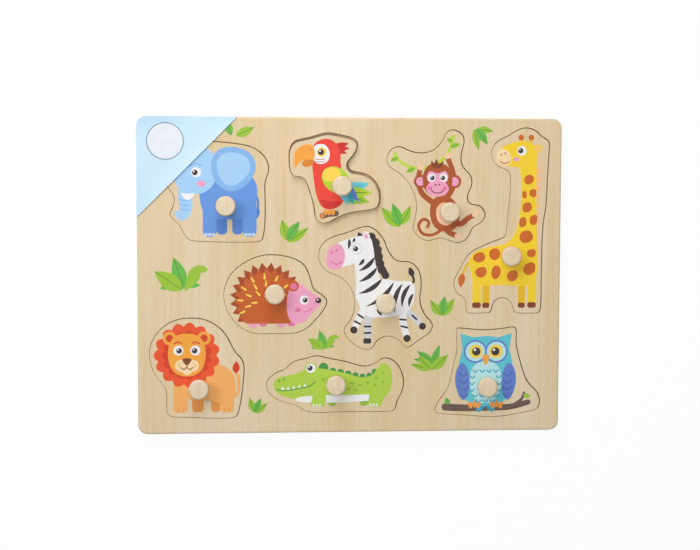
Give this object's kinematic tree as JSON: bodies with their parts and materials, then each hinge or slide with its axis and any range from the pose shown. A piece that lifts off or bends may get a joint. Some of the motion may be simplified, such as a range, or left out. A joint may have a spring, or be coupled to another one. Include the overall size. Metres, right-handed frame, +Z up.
{
  "type": "peg puzzle",
  "caption": "Flat wooden peg puzzle: a two-layer board with animal-shaped recesses that hold lift-out pieces, each with a turned knob, and a paper card over one corner.",
  "frame": {"origin": "middle of the underside, where the board rests on a table", "axes": "+Z up out of the printed face, +X along the long side to the right of the pictures, +Y along the short side to the top of the pictures"},
  "size_m": [0.3, 0.223, 0.025],
  "materials": {
    "face_plywood": "pale plywood, printed with green leaves, clear matt coat",
    "backing_plywood": "plain plywood, sanded",
    "piece_plywood": "pale plywood, printed with an animal in flat colours, clear matt coat",
    "knob_wood": "turned pale hardwood, sanded, unpainted",
    "card_paper": "pale blue smooth paper"
  },
  "bodies": {
    "board": {"frame_board": "face_plywood", "backing_board": "backing_plywood"},
    "corner_card": {"corner_card": "card_paper"},
    "elephant": {"elephant_piece": "piece_plywood", "elephant_knob": "knob_wood"},
    "parrot": {"parrot_piece": "piece_plywood", "parrot_knob": "knob_wood"},
    "monkey": {"monkey_piece": "piece_plywood", "monkey_knob": "knob_wood"},
    "giraffe": {"giraffe_piece": "piece_plywood", "giraffe_knob": "knob_wood"},
    "hedgehog": {"hedgehog_piece": "piece_plywood", "hedgehog_knob": "knob_wood"},
    "zebra": {"zebra_piece": "piece_plywood", "zebra_knob": "knob_wood"},
    "lion": {"lion_piece": "piece_plywood", "lion_knob": "knob_wood"},
    "crocodile": {"crocodile_piece": "piece_plywood", "crocodile_knob": "knob_wood"},
    "owl": {"owl_piece": "piece_plywood", "owl_knob": "knob_wood"}
  },
  "joints": [
    {"name": "elephant_lift", "type": "slide", "parent": "board", "child": "elephant", "axis": [0, 0, 1], "range_m": [0, 0.03]},
    {"name": "parrot_lift", "type": "slide", "parent": "board", "child": "parrot", "axis": [0, 0, 1], "range_m": [-0.004, 0.026]},
    {"name": "monkey_lift", "type": "slide", "parent": "board", "child": "monkey", "axis": [0, 0, 1], "range_m": [0, 0.03]},
    {"name": "giraffe_lift", "type": "slide", "parent": "board", "child": "giraffe", "axis": [0, 0, 1], "range_m": [0, 0.03]},
    {"name": "hedgehog_lift", "type": "slide", "parent": "board", "child": "hedgehog", "axis": [0, 0, 1], "range_m": [0, 0.03]},
    {"name": "zebra_lift", "type": "slide", "parent": "board", "child": "zebra", "axis": [0, 0, 1], "range_m": [0, 0.03]},
    {"name": "lion_lift", "type": "slide", "parent": "board", "child": "lion", "axis": [0, 0, 1], "range_m": [0, 0.03]},
    {"name": "crocodile_lift", "type": "slide", "parent": "board", "child": "crocodile", "axis": [0, 0, 1], "range_m": [0, 0.03]},
    {"name": "owl_lift", "type": "slide", "parent": "board", "child": "owl", "axis": [0, 0, 1], "range_m": [0, 0.03]},
    {"name": "corner_card_lift", "type": "slide", "parent": "board", "child": "corner_card", "axis": [0, 0, 1], "range_m": [0, 0.03]}
  ],
  "couplings": [
    {"joint": "corner_card_lift", "follows": "elephant_lift", "ratio": 1}
  ]
}
